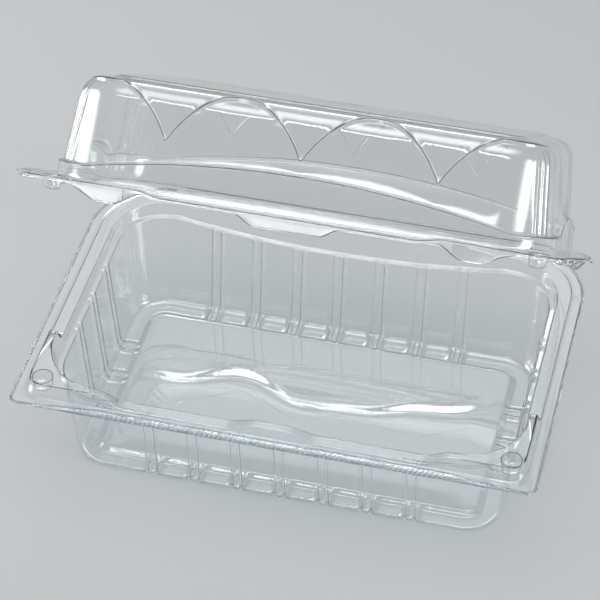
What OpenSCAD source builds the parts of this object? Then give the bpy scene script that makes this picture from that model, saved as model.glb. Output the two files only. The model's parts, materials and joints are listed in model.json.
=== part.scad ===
// Clear hinged food pack in one thin sheet: a deep ribbed tray and a domed lid on a living hinge.
// Millimetres, +Z up. Z = 0 is the underside of the tray floor, X = 0 the middle of the pack.

/* [Tray] */
// Width of the tray over its flange, left to right
flange_width = 220; // [150:1:330]
// Depth of the tray over its flange, front to back
flange_depth = 146; // [100:1:220]
// Height from the underside of the floor to the top of the flange
tray_height = 51; // [34:1:82]
// Thickness of the plastic sheet
sheet = 0.5; // [0.4:0.05:0.9]
// Corner radius of the flange at the front
front_corner_radius = 4.5; // [2:0.5:8]
// Corner radius of the flange at the back, beside the hinge
back_corner_radius = 31; // [20:0.5:36]
// How far the floor ends inside the flange edge at the two ends
floor_end_inset = 19.5; // [17.5:0.1:22]
// How far the floor ends inside the flange edge at the front and back
floor_side_inset = 21.6; // [19.5:0.1:24]
// Corner radius of the floor
floor_corner_radius = 14; // [10:0.5:15]
// Height of the sloped band between the walls and the floor
chamfer_height = 2.5; // [1.5:0.5:5]
// How far that sloped band leans out, front and back
chamfer_run = 2; // [1:0.1:4]
// How far the band leans out at the two ends
chamfer_end_run = 2; // [1:0.1:4]

/* [Tray rim] */
// Flat edge of the flange outside the raised rim
lip_width = 5.4; // [4:0.1:6]
// Width of the raised rim
rim_width = 5.6; // [4.5:0.1:7]
// Height of the raised rim over the flange
rim_height = 1; // [0.6:0.1:1.5]
// Corner radius of the tray mouth
mouth_radius = 24; // [20:0.5:26]
// Height of the platform in each front corner over the flange
corner_rise = 6.2; // [4:0.1:8]
// Height of the raised middle of the front rim over the flange
middle_rise = 4.5; // [3:0.1:6]
// Half width of the flat top of that raised middle
middle_flat = 6; // [4:0.5:8]
// Half width of the raised middle with its slopes
middle_half = 19.5; // [14:0.5:24]
// Length of a corner platform along the front, from the side edge of the flange
platform_width = 36; // [32:0.5:40]
// Length of the slope at that end
platform_slope = 12; // [8:0.5:14]
// Length of a corner platform along the side, from the front edge of the flange
platform_length = 38.5; // [36:0.5:44]
// Length of the step at that end
platform_step = 3; // [2:0.5:5]
// Depth of the ledge inside the mouth under the flange, at the corners
ledge_drop = 4.5; // [3:0.1:7]
// Depth of the ledge in the middle of the long walls
ledge_middle_drop = 10.7; // [8:0.1:14]
// Distance from the mouth to the foot of the wall above the ledge, front and back
ledge_setback = 1.4; // [0.8:0.1:1.8]
// Width of the ledge
ledge_width = 2.4; // [1.5:0.1:3]

/* [Ribs] */
// Number of rib pairs on each long wall
long_pairs = 7; // [3:2:7]
// Distance from the last rib pair of a long wall to the platform slope
pair_margin = 6.2; // [5:0.1:12]
// Number of rib pairs on each short wall
short_pairs = 3; // [1:1:3]
// Distance from the last rib pair of a short wall to the platform step
short_margin = 12.5; // [6:0.5:16]
// Distance between the two ribs of a pair
rib_spacing = 4; // [3:0.1:5]
// Width of one rib at its foot
rib_width = 2.4; // [1.5:0.1:2.8]
// How far a rib stands into the tray
rib_depth = 0.9; // [0.4:0.1:1.4]

/* [Lid] */
// Height of the closed lid over the tray flange
lid_height = 50; // [38:0.5:64]
// Gap between the closed lid and the tray rim
closing_gap = 0.4; // [0.3:0.05:0.8]
// How far the edge of the lid stays inside the tray flange at the sides
edge_setback = 1.5; // [1:0.1:2]
// Distance from the front edge of the lid to the front edge of the tray
front_setback = 2.6; // [2:0.1:3]
// Height of the turned-down edge of the lid
edge_drop = 0.8; // [0.6:0.1:1]
// How far the ears at the front ends of the sides stick out
ear_reach = 7; // [3:0.5:9]
// Distance of the ears from the front edge of the tray
ear_distance = 27; // [22:0.5:32]
// Half length of an ear along the side
ear_half = 16; // [10:0.5:18]
// How far the band above the lid flange stands inside the tray flange at the ends
band_end_inset = 8; // [7:0.1:10]
// How far that band stands inside the tray flange at the front and back
band_side_inset = 9.5; // [8.5:0.1:12]
// Corner radius of the band
band_radius = 26; // [22:0.5:28]
// Height of the band at the corners, over the tray flange
band_height = 13; // [11:0.5:16]
// Height of the band in the middle of the long sides, over the tray flange
band_arch_height = 22; // [18:0.5:25]
// Height of the band in the middle of the short sides, over the tray flange
band_side_height = 19; // [16:0.5:22]
// Width of the step on top of the band at the front and back
band_step = 1.2; // [0.8:0.1:1.8]
// Width of the step on top of the band at the ends
band_end_step = 2.6; // [1.6:0.1:5]
// How far the flutes stand out at the corners of the dome
flute_depth = 0.6; // [0.3:0.1:0.9]
// Radius of the rounded edge round the top
top_round = 8.5; // [6:0.5:10]
// How far that rounded edge runs in over the top
top_run = 8; // [5:0.5:10]
// Height of the points of the draped edge over the middle of the band
drape_gap = 4.5; // [3:0.5:8]
// Distance of the draped edge from the top, between its points
drape_top_gap = 1.6; // [1.2:0.1:6]
// How far the drape stands off the wall
drape_depth = 0.9; // [0.5:0.1:1.2]
// Height of the raised panel in the top
panel_rise = 0.9; // [0.5:0.1:1.5]
// Width of the slope round that panel
panel_slope = 1.5; // [0.8:0.1:2.5]
// Distance of the panel from the rounded edge at the front and back
panel_side_setback = 0.8; // [0.5:0.1:2]
// Distance of the panel from the rounded edge at the ends
panel_end_setback = 4.5; // [2:0.5:8]
// Half width of the middle tab at the lid flange
tab_half = 21; // [18:0.5:26]
// Half width of the middle tab at its lower edge
tab_flat = 13; // [8:0.5:16]
// Distance of the two outer tabs from the ends of the tray
outer_tab_inset = 21; // [18:0.5:24]
// Length of the two outer tabs
outer_tab_length = 31; // [28:0.5:36]
// Length of the curve at each end of an outer tab
outer_tab_curve = 12; // [8:0.5:13]

/* [Snaps] */
// Distance of the snap studs from the end of the tray flange
snap_end_inset = 12.4; // [11.6:0.2:14]
// Distance of the snap studs from the front edge of the tray flange
snap_front_inset = 11.6; // [11:0.2:13]
// Radius of a stud at its root
stud_radius = 3.3; // [2.6:0.1:3.4]
// Radius of a stud at its tip
stud_tip_radius = 2.7; // [2.2:0.1:2.9]
// Length of a stud
stud_length = 4.6; // [3:0.1:4.8]
// Gap round a stud in its socket
snap_gap = 0.6; // [0.5:0.05:0.8]

/* [Hinge] */
// Radius of the rolled bead along the hinge
bead_radius = 0.9; // [0.7:0.05:1.1]
// Length of the bead
bead_length = 150; // [120:1:154]
// Gap between the bead and the back edge of the lid
hinge_gap = 0.1; // [0.05:0.05:0.3]
// How far the lid stands open, from closed
rest_angle = 37.5; // [0:0.5:120]

/* [Hidden] */
clear_plastic = [0.80, 0.88, 0.92, 0.45];
$fn = 48;

// Shares: table entries that multiply a named size, and counts of stations
half_share = 0.5;
rib_foot_shares = [-0.5, 0, 0.5];
extra_shares = [0, 1/3, 2/3, 1];
gap_shares = [0.25, 0.5, 0.75];
draft_share = 0.22;
lean_share = 0.35;
dome_lean_share = 0.2;
dome_end_lean_share = 0.1;
flute_shares = [0.52, 0.565, 0.61, 0.655, 0.7, 0.745, 0.79];
smooth_shares = [0, 0.14, 0.28, 0.4, 0.52];
below_drape_shares = [0.76, 0.91];
above_drape_shares = [0.64, 0.9, 1];
side_shares = [-1, -0.92, -0.8, -0.5, -0.25, 0, 0.25, 0.5, 0.75, 1];
side_reach_share = 0.86;
drape_reach_share = 0.9;
fit_share = 0.985;
arch_reach_share = 0.78;
corner_steps = 7;
drape_stations = 10;
drape_point_stations = 8;
drape_power = 2.5;

half_width = flange_width * half_share;
half_depth = flange_depth * half_share;
snap_x = half_width - snap_end_inset;
snap_y = half_depth - snap_front_inset;

function smooth(t) = let (c = min(1, max(0, t))) c * c * (3 - 2 * c);
function mirrored(list) = [for (i = [len(list) - 1 : -1 : 0]) list[i]];

// One corner as stations [x, y, outward x, outward y, rib, side], from pairs [share of the turn, rib]
function arc(cx, cy, r, start, turn) = [for (c = turn) let (t = start + 90 * c[0])
    [cx + r * cos(t), cy + r * sin(t), cos(t), sin(t), c[1], 0]];

// Stations of a straight side, drawn in where the side of this ring is shorter than they are
function fitted(list, low, high) = let (
    k_low = min(1, fit_share * low / list[0][0]),
    k_high = min(1, fit_share * high / list[len(list) - 1][0]))
    [for (p = list) [p[0] * (p[0] < 0 ? k_low : k_high), p[1]]];

// One closed ring of stations, anticlockwise from the left end of the front.
// Every ring of a shell has the same stations, so rings can be joined point by point.
function ring(a, front, back, rf, rb, fx, bx, ry, turn) = let (
    other_turn = [for (c = mirrored(turn)) [1 - c[0], c[1]]],
    f = fitted(fx, rf - a, a - rf), b = fitted(bx, rb - a, a - rb),
    s = fitted(ry, rf - front, back - rb)) concat(
    [for (p = f) [p[0], -front, 0, -1, p[1], 1]],
    arc(a - rf, rf - front, rf, -90, turn),
    [for (p = s) [a, p[0], 1, 0, p[1], 2]],
    arc(a - rb, back - rb, rb, 0, other_turn),
    mirrored([for (p = b) [p[0], back, 0, 1, p[1], 3]]),
    arc(rb - a, back - rb, rb, 90, turn),
    mirrored([for (p = s) [-a, p[0], -1, 0, p[1], 4]]),
    arc(rf - a, rf - front, rf, 180, other_turn));

// A solid through a list of rings, closed by a middle point at each end
module loft(rings, first, last) {
    n = len(rings[0]);
    m = len(rings);
    points = concat([for (r = rings) each r], [first, last]);
    walls = [for (i = [0 : m - 2]) for (j = [0 : n - 1]) let (k = (j + 1) % n) each [
        [i * n + j, (i + 1) * n + k, i * n + k],
        [i * n + j, (i + 1) * n + j, (i + 1) * n + k]]];
    caps = [for (j = [0 : n - 1]) let (k = (j + 1) % n) each [
        [m * n, j, k], [m * n + 1, (m - 1) * n + k, (m - 1) * n + j]]];
    polyhedron(points = points, faces = concat(walls, caps), convexity = 10);
}

// Tray

// Stations along the long walls: rib pairs, a station between pairs, and the ends
function pair(c) = [for (s = [-half_share, half_share]) for (f = rib_foot_shares)
    [c + s * rib_spacing + f * rib_width, f == 0 ? 1 : 0]];
corner_slope_end = half_width - platform_width;
corner_slope_start = corner_slope_end - platform_slope;
platform_end = half_depth - platform_length;
pair_pitch = 2 * (corner_slope_start - pair_margin) / max(1, long_pairs - 1);
short_pitch = 2 * (platform_end - platform_step - short_margin) / max(1, short_pairs - 1);
long_first = -(long_pairs - 1) * half_share * pair_pitch;
long_ribs = [for (i = [0 : long_pairs - 1]) each concat(
    pair(long_first + i * pair_pitch),
    i < long_pairs - 1 ? [[long_first + (i + half_share) * pair_pitch, 0]] : [])];
end_stations = [for (s = extra_shares) [corner_slope_start + s * platform_slope, 0]];
tray_x = concat(mirrored([for (p = end_stations) [-p[0], 0]]), long_ribs, end_stations);
tray_y = concat(
    [[-platform_end, 0], [platform_step - platform_end, 0]],
    [for (i = [0 : short_pairs - 1]) each pair((i - (short_pairs - 1) * half_share) * short_pitch)],
    [[platform_end - platform_step, 0]]);

// How much of the corner platform, and of the raised middle, is under a station
function corner_amount(p) = p[1] > 0 ? 0 :
    abs(p[1]) < platform_end && p[5] != 1
        ? smooth((-p[1] - (platform_end - platform_step)) / platform_step)
        : smooth((abs(p[0]) - corner_slope_start) / platform_slope);
function middle_amount(p) = p[5] != 1 ? 0 :
    smooth((middle_half - abs(p[0])) / (middle_half - middle_flat));
function rise(p) = corner_amount(p) * (corner_rise - rim_height)
    + middle_amount(p) * (middle_rise - rim_height);
function dip(p) = (p[5] == 1 || p[5] == 3)
    ? (ledge_middle_drop - ledge_drop) * (1 - pow(min(1, abs(p[0]) / corner_slope_end), 2)) : 0;

plain_turn = [for (i = [0 : corner_steps]) [i / corner_steps, 0]];
function wall_ring(a, b, rf, rb) = ring(a, b, b, rf, rb, tray_x, tray_x, tray_y, plain_turn);
function tray_ring(inset, rf, rb, ya = 0) = wall_ring(half_width - inset, half_depth - inset - ya, rf, rb);
function at(p, d, z) = [p[0] + p[2] * d, p[1] + p[3] * d, z];

mouth_inset = lip_width + rim_width;
ledge_inset = mouth_inset + ledge_setback * half_share;
ledge_extra = ledge_setback * half_share;
floor_half_width = half_width - floor_end_inset;
floor_half_depth = half_depth - floor_side_inset;
wall_half_width = floor_half_width + chamfer_end_run;
wall_half_depth = floor_half_depth + chamfer_run;
wall_radius = floor_corner_radius + chamfer_end_run;

// Each tray ring in two sheets: side 0 is the inside of the pack, side 1 the outside
function tray_rings(side) = let (t = side * sheet, foot = side * sheet * lean_share) [
    [for (p = tray_ring(0, front_corner_radius, back_corner_radius)) at(p, 0, tray_height - t)],
    [for (p = tray_ring(lip_width, mouth_radius * lean_share, back_corner_radius - lip_width))
        at(p, -t, tray_height - t)],
    [for (p = tray_ring(lip_width + rim_height * draft_share, mouth_radius * lean_share,
                        back_corner_radius - lip_width))
        at(p, -t - draft_share * rise(p), tray_height + rim_height + rise(p) - t)],
    [for (p = tray_ring(mouth_inset, mouth_radius, mouth_radius))
        at(p, t + draft_share * rise(p), tray_height + rim_height + rise(p) - t)],
    [for (p = tray_ring(ledge_inset, mouth_radius - ledge_setback, mouth_radius - ledge_setback, ledge_extra))
        at(p, t, tray_height - ledge_drop - dip(p) - t)],
    [for (p = tray_ring(ledge_inset + ledge_width, mouth_radius - ledge_setback - ledge_width,
                        mouth_radius - ledge_setback - ledge_width, ledge_extra))
        at(p, t - rib_depth * p[4], tray_height - ledge_drop - dip(p) - sheet - t)],
    [for (p = wall_ring(wall_half_width, wall_half_depth, wall_radius, wall_radius))
        at(p, t - rib_depth * p[4], chamfer_height + sheet - foot)],
    [for (p = wall_ring(floor_half_width, floor_half_depth, floor_corner_radius, floor_corner_radius))
        at(p, foot, sheet - t)]];

socket_radius = stud_radius + snap_gap;
socket_tip_radius = stud_tip_radius + snap_gap;
socket_depth = stud_length + snap_gap;
platform_top = tray_height + corner_rise;

module tray_shell() {
    loft(concat(mirrored(tray_rings(1)), tray_rings(0)), [0, 0, 0], [0, 0, sheet]);
}

module socket_cup() {
    for (s = [-1, 1]) translate([s * snap_x, -snap_y, platform_top - socket_depth - sheet])
        cylinder(r1 = socket_tip_radius + sheet, r2 = socket_radius + sheet,
                 h = socket_depth + sheet * half_share);
}

module socket_hole() {
    for (s = [-1, 1]) translate([s * snap_x, -snap_y, platform_top - socket_depth])
        cylinder(r1 = socket_tip_radius, r2 = socket_radius, h = socket_depth + sheet);
}

// The hinge bead lies along the back edge, half under and half over the flange
hinge_y = half_depth + bead_radius * half_share;
hinge_z = tray_height + bead_radius * half_share;

module hinge_bead() {
    translate([-bead_length * half_share, hinge_y, hinge_z]) rotate([0, 90, 0])
        cylinder(r = bead_radius, h = bead_length);
}

module base_tray() {
    color(clear_plastic) difference() {
        union() {
            tray_shell();
            socket_cup();
            hinge_bead();
        }
        socket_hole();
    }
}

// Lid, drawn closed on the tray and then swung open about the hinge

band_half_width = half_width - band_end_inset;
band_half_depth = half_depth - band_side_inset;
band_straight = band_half_width - band_radius;
side_reach = (band_half_depth - band_radius) * side_reach_share;
drape_reach = band_straight * drape_reach_share;
drape_pitch = drape_reach * drape_point_stations / drape_stations;
drape_x = [for (i = [-drape_stations : drape_stations]) [i * drape_reach / drape_stations, 0]];
function gap_stations(from, to) = [for (s = gap_shares) [from + s * (to - from), 0]];
function lid_x(straight) = let (g = gap_stations(drape_reach, straight))
    concat(mirrored([for (p = g) [-p[0], 0]]), drape_x, g);
// One station of the side stands at the tip of the ear
ear_y = half_depth - ear_distance;
ear_share = (ear_y - side_reach) / (half_depth - front_setback - front_corner_radius - side_reach);
ear_gap_shares = [ear_share * half_share, ear_share, (1 + ear_share) * half_share];
function lid_y(straight) = concat(
    mirrored([for (s = ear_gap_shares) [-side_reach - s * (straight - side_reach), 0]]),
    [for (s = side_shares) [s * side_reach, 0]]);
fluted_turn = concat([for (s = smooth_shares) if (s < flute_shares[0]) [s, 0]],
    [for (i = [0 : len(flute_shares) - 1]) [flute_shares[i], i % 2]], [[1, 0]]);
function lid_ring(a, front, back, rf, rb) =
    ring(a, front, back, rf, rb, lid_x(a - rf), lid_x(a - rb), lid_y(front - rf), fluted_turn);

// Underside of the lid flange over the tray flange: it clears the platforms and the raised middle
low_gap = rim_height + closing_gap;
front_gap = middle_rise + closing_gap;
corner_gap = corner_rise + closing_gap;
function lid_lift(p) =
    p[5] == 1 ? front_gap + (corner_gap - front_gap)
        * smooth((abs(p[0]) - corner_slope_start + platform_slope) / platform_slope)
    : p[1] > 0 ? low_gap
    : low_gap + (corner_gap - low_gap)
        * smooth((-p[1] - platform_end + 2 * platform_step) / platform_step);

// The ears widen the flange at the sides, and three tabs hang from its front edge
function ear(p) = p[5] == 1 || p[1] > 0 ? 0
    : sign(p[0]) * ear_reach * pow(cos(90 * min(1, abs(half_depth - ear_distance + p[1]) / ear_half)), 2);
outer_tab_end = half_width - outer_tab_inset;
outer_tab_start = outer_tab_end - outer_tab_length;
function tab(p) = p[5] != 1 ? 0 :
    max(min(1, max(0, (tab_half - abs(p[0])) / (tab_half - tab_flat))),
        smooth((abs(p[0]) - outer_tab_start) / outer_tab_curve)
        * smooth((outer_tab_end - abs(p[0])) / outer_tab_curve));
function edge_bottom(p) = let (low = lid_lift(p) - edge_drop) low - (low - closing_gap) * tab(p);

// Heights of the band round the lid and of the draped edge, over the tray flange
function long_side(p) = p[5] == 1 || p[5] == 3;
function band_top(p) = let (reach = half_width * arch_reach_share)
    long_side(p) ? band_height + (band_arch_height - band_height) * max(0, 1 - pow(p[0] / reach, 2))
    : p[5] == 0 ? band_height + (band_arch_height - band_height) * max(0, 1 - pow(p[0] / reach, 2))
    : band_height + (band_side_height - band_height) * max(0, 1 - pow(p[1] / side_reach, 2));

// Outside of the dome: a leaning wall and a rounded edge, as the distance in at a height
top_edge = lid_height - panel_rise - drape_depth;
round_start = top_edge - top_round;
function lean(p) = dome_lean_share * p[3] * p[3] + dome_end_lean_share * p[2] * p[2];
function turned(z) = min(1, max(0, (z - round_start) / top_round));
function dome_in(p, z) = lean(p) * (min(z, round_start) - band_height)
    + top_run * (1 - sqrt(1 - pow(turned(z), 2))) - flute_depth * p[4] * (1 - turned(z));
function tilt(p, z) = max(atan(lean(p)), asin(turned(z)));
drape_low = band_arch_height + drape_gap;
drape_high = top_edge - drape_top_gap;
function drape_line(p) = let (v = abs(p[0]) / drape_pitch, s = 2 * abs(v - round(v)))
    long_side(p) ? drape_low + (drape_high - drape_low) * (1 - pow(1 - s, drape_power)) : drape_high;

function panel_in(p) = dome_in(p, top_edge) + panel_end_setback * p[2] * p[2]
    + panel_side_setback * p[3] * p[3];

function on_flange(p, d, z) = [p[0] + ear(p) + p[2] * d, p[1] + p[3] * d, tray_height + z];
function on_dome(p, z, out) =
    at(p, out * cos(tilt(p, z)) - dome_in(p, z), tray_height + z + out * sin(tilt(p, z)));
edge_x = half_width - edge_setback;
edge_front = half_depth - front_setback;
edge_back = hinge_y - bead_radius - hinge_gap;
dome_half_depth = band_half_depth - band_step;
dome_ring = lid_ring(band_half_width - band_end_step, dome_half_depth, dome_half_depth,
                     band_radius - band_end_step, band_radius - band_end_step);
band_ring = lid_ring(band_half_width, band_half_depth, band_half_depth, band_radius, band_radius);
edge_ring = lid_ring(edge_x, edge_front, edge_back, front_corner_radius, back_corner_radius);

// Each lid ring in two sheets: side 0 is the outside of the lid, side 1 the inside
function lid_rings(side) = let (t = side * sheet) concat([
    [for (p = edge_ring) on_flange(p, -t, edge_bottom(p))],
    [for (p = edge_ring) on_flange(p, -t, lid_lift(p) + sheet - t)],
    [for (p = band_ring) at(p, -t, tray_height + lid_lift(p) + sheet - t)],
    [for (p = band_ring) at(p, -t, tray_height + band_top(p) - t)],
    [for (p = dome_ring) on_dome(p, band_top(p) + sheet, -t)]],
    [for (s = below_drape_shares) [for (p = dome_ring)
        let (z = band_top(p) + sheet) on_dome(p, z + s * (drape_line(p) - z), -t)]], [
    [for (p = dome_ring) on_dome(p, drape_line(p), -t)],
    [for (p = dome_ring) on_dome(p, drape_line(p) + drape_depth, drape_depth - t)]],
    [for (s = above_drape_shares) [for (p = dome_ring)
        let (z = drape_line(p) + drape_depth) on_dome(p, z + s * (top_edge - z), drape_depth - t)]],
    [[for (p = dome_ring) at(p, -panel_in(p), tray_height + lid_height - panel_rise - t)],
     [for (p = dome_ring) at(p, -panel_in(p) - panel_slope, tray_height + lid_height - t)]]);

module lid_shell() {
    loft(concat(mirrored(lid_rings(1)), lid_rings(0)),
         [0, 0, tray_height + lid_height - sheet], [0, 0, tray_height + lid_height]);
}

stud_root = tray_height + corner_gap;

module studs() {
    for (s = [-1, 1]) translate([s * snap_x, -snap_y, stud_root - stud_length])
        cylinder(r1 = stud_tip_radius, r2 = stud_radius, h = stud_length + sheet * half_share);
}

module stud_hollows() {
    for (s = [-1, 1]) translate([s * snap_x, -snap_y, stud_root - stud_length + sheet])
        cylinder(r1 = stud_tip_radius - sheet, r2 = stud_radius - sheet, h = stud_length + sheet);
}

module lid_closed() {
    difference() {
        union() {
            lid_shell();
            studs();
        }
        stud_hollows();
    }
}

module lid() {
    color(clear_plastic)
        translate([0, hinge_y, hinge_z]) rotate([-rest_angle, 0, 0]) translate([0, -hinge_y, -hinge_z])
            lid_closed();
}

base_tray();
lid();
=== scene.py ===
"""Clear hinged food pack: a deep ribbed tray and a domed lid, formed in thin clear sheet.

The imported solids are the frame. The tray, the lid and their toothed edges are formed again here with
rounded steps and a thinner sheet, and stand for the two solids.
"""

import json
import math
from collections import namedtuple

import bmesh
import bpy
from bpy.props import FloatProperty, FloatVectorProperty, IntProperty, PointerProperty
from mathutils import Matrix, Vector


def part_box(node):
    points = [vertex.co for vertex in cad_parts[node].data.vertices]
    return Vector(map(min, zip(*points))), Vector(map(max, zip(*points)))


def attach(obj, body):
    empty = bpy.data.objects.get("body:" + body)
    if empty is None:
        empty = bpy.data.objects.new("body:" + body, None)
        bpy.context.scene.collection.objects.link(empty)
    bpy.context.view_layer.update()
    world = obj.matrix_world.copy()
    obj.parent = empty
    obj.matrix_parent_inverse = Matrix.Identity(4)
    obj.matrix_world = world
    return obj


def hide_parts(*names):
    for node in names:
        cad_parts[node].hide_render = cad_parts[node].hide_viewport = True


bl_info = {
    "name": "Clear Hinged Food Pack",
    "version": (1, 0, 0),
    "blender": (4, 5, 0),
    "location": "View3D > Sidebar > Food Pack",
    "description": "Forms a clear ribbed tray and its domed lid round the packed frame",
    "category": "Object",
}

MM = 0.001

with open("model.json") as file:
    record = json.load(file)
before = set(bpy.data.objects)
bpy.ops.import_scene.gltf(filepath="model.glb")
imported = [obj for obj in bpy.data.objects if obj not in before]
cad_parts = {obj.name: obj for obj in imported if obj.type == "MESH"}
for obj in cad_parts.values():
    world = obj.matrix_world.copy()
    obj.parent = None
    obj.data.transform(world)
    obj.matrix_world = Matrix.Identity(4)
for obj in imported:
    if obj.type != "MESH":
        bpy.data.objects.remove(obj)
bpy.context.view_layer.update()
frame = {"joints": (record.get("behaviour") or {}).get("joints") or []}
tray_low, tray_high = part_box("base_tray")
lid_hinge = frame["joints"][0]
hinge_point = Vector(lid_hinge["pos_m"])
rest_angle = math.radians(-lid_hinge["range_deg"][0])
half_width = tray_high.x
half_depth = -tray_low.y
platform_top = tray_high.z


# Sizes and colours

def length(name, millimetres, description):
    return FloatProperty(name=name, description=description, default=millimetres * MM,
                         unit="LENGTH", precision=5)


def number(name, value, description):
    return FloatProperty(name=name, description=description, default=value)


def power(name, watts, description):
    return FloatProperty(name=name, description=description, default=watts, unit="POWER")


def tint(name, colour, description):
    return FloatVectorProperty(name=name, description=description, default=colour, size=3,
                               subtype="COLOR", min=0.0, max=1.0)


class SheetSettings(bpy.types.PropertyGroup):
    thickness: length("Sheet", 0.3, "Thickness of the formed sheet")
    colour: tint("Colour", (0.975, 0.99, 0.995), "Colour of the clear sheet")
    shade: tint("Shade", (0.93, 0.95, 0.95), "What one face of the sheet lets through of a lamp")
    roughness: number("Roughness", 0.02, "Gloss of the sheet")
    ripple: number("Ripple", 0.05, "Strength of the forming ripples")
    frost: number("Frost", 0.1, "Roughness of the knurled edges")
    knurl_colour: tint("Knurl colour", (0.62, 0.67, 0.70), "Colour of the knurled edges")


class TraySettings(bpy.types.PropertyGroup):
    edge_strip: length("Toothed edge", 1.5, "Width of the toothed edge at the sides")
    grip_strip: length("Knurled front", 4.4, "Width of the knurled edge along the front")
    grip_taper: length("Knurl taper", 36, "Length over which the front edge narrows")
    front_corner: length("Front corner", 4.5, "Corner radius of the flange at the front")
    back_corner: length("Back corner", 31, "Corner radius of the flange at the back")
    lip_width: length("Lip", 5.4, "Flat edge of the flange outside the raised rim")
    rim_width: length("Rim", 5.6, "Width of the raised rim")
    rim_height: length("Rim height", 1.0, "Height of the raised rim over the flange")
    rim_corner: length("Rim corner", 8.4, "Front corner radius of the raised rim")
    mouth_corner: length("Mouth corner", 24, "Corner radius of the tray mouth")
    corner_rise: length("Platform", 6.2, "Height of the front corner platforms")
    platform_width: length("Platform width", 36, "Length of a platform along the front")
    platform_slope: length("Platform slope", 12, "Length of the slope at the end of a platform")
    platform_length: length("Platform length", 38.5, "Length of a platform along the side")
    platform_step: length("Platform step", 3, "Length of the step at the back of a platform")
    middle_rise: length("Raised middle", 4.5, "Height of the middle of the front rim")
    middle_flat: length("Middle flat", 6, "Half width of its flat top")
    middle_half: length("Middle width", 19.5, "Half width of the raised middle")
    ledge_drop: length("Ledge", 4.5, "Depth of the ledge at the corners")
    ledge_middle: length("Ledge middle", 10.7, "Depth of the ledge in mid-wall")
    ledge_setback: length("Ledge setback", 1.4, "Distance from the mouth to the ledge")
    ledge_width: length("Ledge width", 2.4, "Width of the ledge")
    wall_end: length("Wall end", 17.5, "Inset of the wall foot at the ends")
    wall_side: length("Wall side", 19.6, "Inset of the wall foot, front and back")
    wall_corner: length("Wall corner", 16, "Corner radius of the wall foot")
    foot_round: length("Foot round", 3.0, "Round between the walls and the foot band")
    foot_width: length("Foot band", 8.1, "Width of the flat band that the tray stands on")
    panel_slope: length("Panel slope", 2.7, "Width of the slope up to the floor panel")
    panel_rise: length("Panel rise", 1.6, "Height of the floor panel over the band")
    floor_level: length("Floor level", 0.5, "Height of the inside of the foot band")
    floor_wave: length("Floor wave", 0.6, "How far the front of the floor has buckled up")
    wave_width: length("Wave width", 11, "Width of the slope behind that part")
    rib_pitch: length("Rib pitch", 18.6, "Distance between the rib pairs of a long wall")
    end_rib_pitch: length("End rib pitch", 19, "Distance between the rib pairs of an end wall")
    rib_spacing: length("Rib spacing", 4, "Distance between the two ribs of a pair")
    rib_width: length("Rib width", 2.4, "Width of one rib")
    rib_depth: length("Rib depth", 0.9, "How far a rib stands into the tray")
    rib_flank: length("Rib flank", 0.8, "Width of each flank of a rib")
    long_pairs: IntProperty(name="Rib pairs", description="Rib pairs on a long wall", default=7, min=1)
    end_pairs: IntProperty(name="End rib pairs", description="Rib pairs on an end wall", default=3, min=1)


class LidSettings(bpy.types.PropertyGroup):
    height: length("Height", 50, "Height of the lid over the tray flange")
    closing_gap: length("Closing gap", 0.4, "Gap between the closed lid and the tray rim")
    edge_setback: length("Side setback", 1.5, "Inset of the lid edge at the sides")
    front_setback: length("Front setback", 2.6, "Inset of the lid edge at the front")
    edge_drop: length("Edge drop", 0.8, "Height of the turned-down edge")
    edge_turn: length("Edge turn", 0.35, "Height at which the edge turns out again")
    edge_flare: length("Edge flare", 0.7, "How far the edge turns out")
    hinge_clear: length("Hinge clear", 8, "Length of straight edge beside the hinge")
    back_edge: length("Back edge", 1.0, "Distance of the back edge from the hinge line")
    ear_reach: length("Ear", 7, "How far the two side ears stick out")
    ear_distance: length("Ear place", 27, "Distance of the ears from the tray front")
    ear_half: length("Ear length", 16, "Half length of an ear along the side")
    band_end: length("Band end", 8, "Inset of the band at the ends")
    band_side: length("Band side", 9.5, "Inset of the band, front and back")
    band_corner: length("Band corner", 26, "Corner radius of the band")
    band_height: length("Band height", 13, "Height of the band at the corners")
    band_arch: length("Band arch", 22, "Height of the band in the middle of the long sides")
    band_end_arch: length("End arch", 19, "Height of the band in the middle of the ends")
    arch_reach: length("Arch reach", 85.8, "Half length of the arch on the long sides")
    band_step: length("Band step", 1.2, "Width of the step on top of the band")
    band_end_step: length("End step", 2.6, "Width of that step at the ends")
    band_bead: length("Band bead", 0.4, "How far the beaded edge of the band stands out")
    rope: length("Rope", 0.14, "Height of the rope pattern on that bead")
    flute: length("Flutes", 0.6, "How far the corner flutes stand out")
    top_round: length("Top round", 8.5, "Radius of the rounded top edge")
    top_run: length("Top run", 8, "How far the rounded edge runs in over the top")
    drape_gap: length("Drape gap", 4.5, "Height of the drape points over the arch")
    drape_top: length("Drape top", 1.6, "Distance of the drape from the top")
    drape_depth: length("Drape depth", 0.9, "How far the drape stands off the wall")
    drape_bead: length("Drape bead", 0.5, "How far its beaded edge stands off")
    end_share: number("Drape at the ends", 0.3, "Share of the drape's depth left there")
    drape_pitch: length("Drape pitch", 54.7, "Distance between the points of the drape")
    panel_rise: length("Panel", 0.9, "Height of the raised panel in the top")
    panel_slope: length("Panel slope", 1.5, "Width of the slope round that panel")
    panel_side: length("Panel side", 0.8, "Inset of the panel, front and back")
    panel_end: length("Panel end", 4.5, "Inset of the panel at the ends")
    top_crown: length("Crown", 0.7, "How far the top bulges in the middle")
    tab_half: length("Tab", 21, "Half width of the middle tab at the flange")
    tab_flat: length("Tab flat", 13, "Half width of the middle tab at its lower edge")
    outer_tab: length("Outer tab", 21, "Inset of the outer tabs from the ends")
    outer_tab_length: length("Outer tab length", 31, "Length of an outer tab")
    outer_tab_curve: length("Outer tab curve", 12, "Length of its curved ends")


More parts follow.
